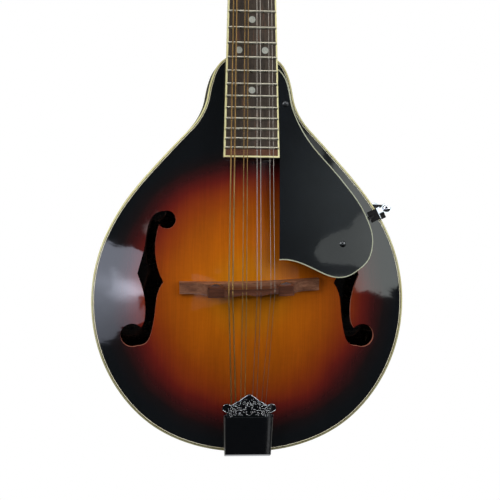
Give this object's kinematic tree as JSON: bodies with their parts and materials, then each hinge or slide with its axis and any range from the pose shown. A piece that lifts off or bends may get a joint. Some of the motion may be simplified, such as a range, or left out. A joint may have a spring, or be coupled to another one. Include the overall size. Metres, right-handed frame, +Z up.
{
  "type": "mandolin",
  "caption": "Arched-top teardrop mandolin with f-holes, sunburst finish, floating bridge, raised pickguard and geared tuners.",
  "frame": {"origin": "middle of the strap button's outer face, the lowest point of the instrument, on its centre plane, half way through the depth of the ribs", "axes": "+X towards the treble side, +Y towards the back, +Z up the neck"},
  "size_m": [0.229, 0.0929, 0.61],
  "materials": {
    "top_plate": "sunburst spruce under gloss lacquer",
    "back_plate": "sunburst maple under gloss lacquer",
    "bass_rib": "sunburst maple under gloss lacquer",
    "treble_rib": "sunburst maple under gloss lacquer",
    "linings": "bare mahogany",
    "neck_block": "bare mahogany",
    "tail_block": "bare mahogany",
    "tone_bars": "bare spruce",
    "top_binding": "ivory celluloid",
    "back_binding": "ivory celluloid",
    "top_purfling": "black and white fibre",
    "neck": "dark stained maple under gloss lacquer",
    "heel_cap": "ebony",
    "truss_rod": "plain steel",
    "fingerboard_riser": "dark stained maple",
    "fingerboard": "oiled rosewood",
    "fingerboard_binding": "ivory celluloid",
    "frets": "polished nickel silver",
    "position_dots": "mother of pearl",
    "side_dots": "black plastic",
    "nut": "bone",
    "headstock_overlay": "black lacquer",
    "truss_rod_cover": "black plastic",
    "headstock_screws": "polished nickel",
    "tuner_plates": "polished nickel",
    "post_bushings": "polished nickel",
    "bridge_base": "oiled rosewood",
    "bridge_posts": "threaded, nickel plated",
    "tailpiece_base": "pressed and nickel plated",
    "tailpiece_screws": "polished nickel",
    "strap_button": "turned black",
    "pickguard": "polished black celluloid",
    "pickguard_binding": "ivory celluloid",
    "pickguard_pins": "polished nickel",
    "pickguard_clamp": "nickel plated",
    "clamp_turnbuckle": "polished nickel",
    "strings_g": "phosphor bronze wound",
    "strings_d": "phosphor bronze wound",
    "strings_a": "plain steel",
    "strings_e": "plain steel",
    "bridge_saddle": "oiled rosewood",
    "thumbwheel_bass": "milled and nickel plated",
    "thumbwheel_treble": "milled and nickel plated",
    "tailpiece_cover": "polished nickel",
    "string_post_g1": "polished nickel with a brass wheel",
    "tuner_key_g1": "nickel shaft and pearl button",
    "string_post_g2": "polished nickel with a brass wheel",
    "tuner_key_g2": "nickel shaft and pearl button",
    "string_post_d1": "polished nickel with a brass wheel",
    "tuner_key_d1": "nickel shaft and pearl button",
    "string_post_d2": "polished nickel with a brass wheel",
    "tuner_key_d2": "nickel shaft and pearl button",
    "string_post_e2": "polished nickel with a brass wheel",
    "tuner_key_e2": "nickel shaft and pearl button",
    "string_post_e1": "polished nickel with a brass wheel",
    "tuner_key_e1": "nickel shaft and pearl button",
    "string_post_a2": "polished nickel with a brass wheel",
    "tuner_key_a2": "nickel shaft and pearl button",
    "string_post_a1": "polished nickel with a brass wheel",
    "tuner_key_a1": "nickel shaft and pearl button"
  },
  "bodies": {
    "instrument": {"top_plate": "top_plate", "back_plate": "back_plate", "bass_rib": "bass_rib", "treble_rib": "treble_rib", "linings": "linings", "neck_block": "neck_block", "tail_block": "tail_block", "tone_bars": "tone_bars", "top_binding": "top_binding", "back_binding": "back_binding", "top_purfling": "top_purfling", "neck": "neck", "heel_cap": "heel_cap", "truss_rod": "truss_rod", "fingerboard_riser": "fingerboard_riser", "fingerboard": "fingerboard", "fingerboard_binding": "fingerboard_binding", "frets": "frets", "position_dots": "position_dots", "side_dots": "side_dots", "nut": "nut", "headstock_overlay": "headstock_overlay", "truss_rod_cover": "truss_rod_cover", "headstock_screws": "headstock_screws", "tuner_plates": "tuner_plates", "post_bushings": "post_bushings", "bridge_base": "bridge_base", "bridge_posts": "bridge_posts", "tailpiece_base": "tailpiece_base", "tailpiece_screws": "tailpiece_screws", "strap_button": "strap_button", "pickguard": "pickguard", "pickguard_binding": "pickguard_binding", "pickguard_pins": "pickguard_pins", "pickguard_clamp": "pickguard_clamp", "clamp_turnbuckle": "clamp_turnbuckle", "strings_g": "strings_g", "strings_d": "strings_d", "strings_a": "strings_a", "strings_e": "strings_e"},
    "saddle": {"bridge_saddle": "bridge_saddle"},
    "bass_wheel": {"thumbwheel_bass": "thumbwheel_bass"},
    "treble_wheel": {"thumbwheel_treble": "thumbwheel_treble"},
    "tail_cover": {"tailpiece_cover": "tailpiece_cover"},
    "post_g1": {"string_post_g1": "string_post_g1"},
    "key_g1": {"tuner_key_g1": "tuner_key_g1"},
    "post_g2": {"string_post_g2": "string_post_g2"},
    "key_g2": {"tuner_key_g2": "tuner_key_g2"},
    "post_d1": {"string_post_d1": "string_post_d1"},
    "key_d1": {"tuner_key_d1": "tuner_key_d1"},
    "post_d2": {"string_post_d2": "string_post_d2"},
    "key_d2": {"tuner_key_d2": "tuner_key_d2"},
    "post_e2": {"string_post_e2": "string_post_e2"},
    "key_e2": {"tuner_key_e2": "tuner_key_e2"},
    "post_e1": {"string_post_e1": "string_post_e1"},
    "key_e1": {"tuner_key_e1": "tuner_key_e1"},
    "post_a2": {"string_post_a2": "string_post_a2"},
    "key_a2": {"tuner_key_a2": "tuner_key_a2"},
    "post_a1": {"string_post_a1": "string_post_a1"},
    "key_a1": {"tuner_key_a1": "tuner_key_a1"}
  },
  "joints": [
    {"name": "saddle_lift", "type": "slide", "parent": "instrument", "child": "saddle", "axis": [0.006, -0.9816, -0.1907], "range_m": [-0.0011, 0.0018], "deforming": ["strings_g", "strings_d", "strings_a", "strings_e"]},
    {"name": "bass_wheel_turn", "type": "hinge", "parent": "saddle", "child": "bass_wheel", "pos_m": [-0.02535, -0.04027, 0.12679], "axis": [0.006, -0.9816, -0.1907], "range_deg": [-567, 927]},
    {"name": "treble_wheel_turn", "type": "hinge", "parent": "saddle", "child": "treble_wheel", "pos_m": [0.02543, -0.04027, 0.12838], "axis": [0.006, -0.9816, -0.1907], "range_deg": [-567, 927]},
    {"name": "tail_cover_slide", "type": "slide", "parent": "instrument", "child": "tail_cover", "axis": [0, 0.1564, -0.9877], "range_m": [0, 0.034]},
    {"name": "key_g1_turn", "type": "hinge", "parent": "instrument", "child": "key_g1", "pos_m": [-0.017, 0.01428, 0.50061], "axis": [1, 0, 0], "continuous": true},
    {"name": "post_g1_turn", "type": "hinge", "parent": "instrument", "child": "post_g1", "pos_m": [-0.017, 0.01637, 0.50724], "axis": [0, 0.9537, -0.3007], "continuous": true, "deforming": ["strings_g"]},
    {"name": "key_g2_turn", "type": "hinge", "parent": "instrument", "child": "key_g2", "pos_m": [-0.017, 0.0212, 0.52255], "axis": [1, 0, 0], "continuous": true},
    {"name": "post_g2_turn", "type": "hinge", "parent": "instrument", "child": "post_g2", "pos_m": [-0.017, 0.02329, 0.52918], "axis": [0, 0.9537, -0.3007], "continuous": true, "deforming": ["strings_g"]},
    {"name": "key_d1_turn", "type": "hinge", "parent": "instrument", "child": "key_d1", "pos_m": [-0.017, 0.02812, 0.54448], "axis": [1, 0, 0], "continuous": true},
    {"name": "post_d1_turn", "type": "hinge", "parent": "instrument", "child": "post_d1", "pos_m": [-0.017, 0.0302, 0.55111], "axis": [0, 0.9537, -0.3007], "continuous": true, "deforming": ["strings_d"]},
    {"name": "key_d2_turn", "type": "hinge", "parent": "instrument", "child": "key_d2", "pos_m": [-0.017, 0.03503, 0.56642], "axis": [1, 0, 0], "continuous": true},
    {"name": "post_d2_turn", "type": "hinge", "parent": "instrument", "child": "post_d2", "pos_m": [-0.017, 0.03712, 0.57305], "axis": [0, 0.9537, -0.3007], "continuous": true, "deforming": ["strings_d"]},
    {"name": "key_e2_turn", "type": "hinge", "parent": "instrument", "child": "key_e2", "pos_m": [0.017, 0.01428, 0.50061], "axis": [1, 0, 0], "continuous": true},
    {"name": "post_e2_turn", "type": "hinge", "parent": "instrument", "child": "post_e2", "pos_m": [0.017, 0.01637, 0.50724], "axis": [0, 0.9537, -0.3007], "continuous": true, "deforming": ["strings_e"]},
    {"name": "key_e1_turn", "type": "hinge", "parent": "instrument", "child": "key_e1", "pos_m": [0.017, 0.0212, 0.52255], "axis": [1, 0, 0], "continuous": true},
    {"name": "post_e1_turn", "type": "hinge", "parent": "instrument", "child": "post_e1", "pos_m": [0.017, 0.02329, 0.52918], "axis": [0, 0.9537, -0.3007], "continuous": true, "deforming": ["strings_e"]},
    {"name": "key_a2_turn", "type": "hinge", "parent": "instrument", "child": "key_a2", "pos_m": [0.017, 0.02812, 0.54448], "axis": [1, 0, 0], "continuous": true},
    {"name": "post_a2_turn", "type": "hinge", "parent": "instrument", "child": "post_a2", "pos_m": [0.017, 0.0302, 0.55111], "axis": [0, 0.9537, -0.3007], "continuous": true, "deforming": ["strings_a"]},
    {"name": "key_a1_turn", "type": "hinge", "parent": "instrument", "child": "key_a1", "pos_m": [0.017, 0.03503, 0.56642], "axis": [1, 0, 0], "continuous": true},
    {"name": "post_a1_turn", "type": "hinge", "parent": "instrument", "child": "post_a1", "pos_m": [0.017, 0.03712, 0.57305], "axis": [0, 0.9537, -0.3007], "continuous": true, "deforming": ["strings_a"]}
  ],
  "couplings": [
    {"joint": "bass_wheel_turn", "follows": "saddle_lift", "rad_per_m": 8976},
    {"joint": "treble_wheel_turn", "follows": "saddle_lift", "rad_per_m": 8976},
    {"joint": "post_g1_turn", "follows": "key_g1_turn", "ratio": 0.066667},
    {"joint": "post_g2_turn", "follows": "key_g2_turn", "ratio": 0.066667},
    {"joint": "post_d1_turn", "follows": "key_d1_turn", "ratio": 0.066667},
    {"joint": "post_d2_turn", "follows": "key_d2_turn", "ratio": 0.066667},
    {"joint": "post_e2_turn", "follows": "key_e2_turn", "ratio": 0.066667},
    {"joint": "post_e1_turn", "follows": "key_e1_turn", "ratio": 0.066667},
    {"joint": "post_a2_turn", "follows": "key_a2_turn", "ratio": 0.066667},
    {"joint": "post_a1_turn", "follows": "key_a1_turn", "ratio": 0.066667}
  ]
}
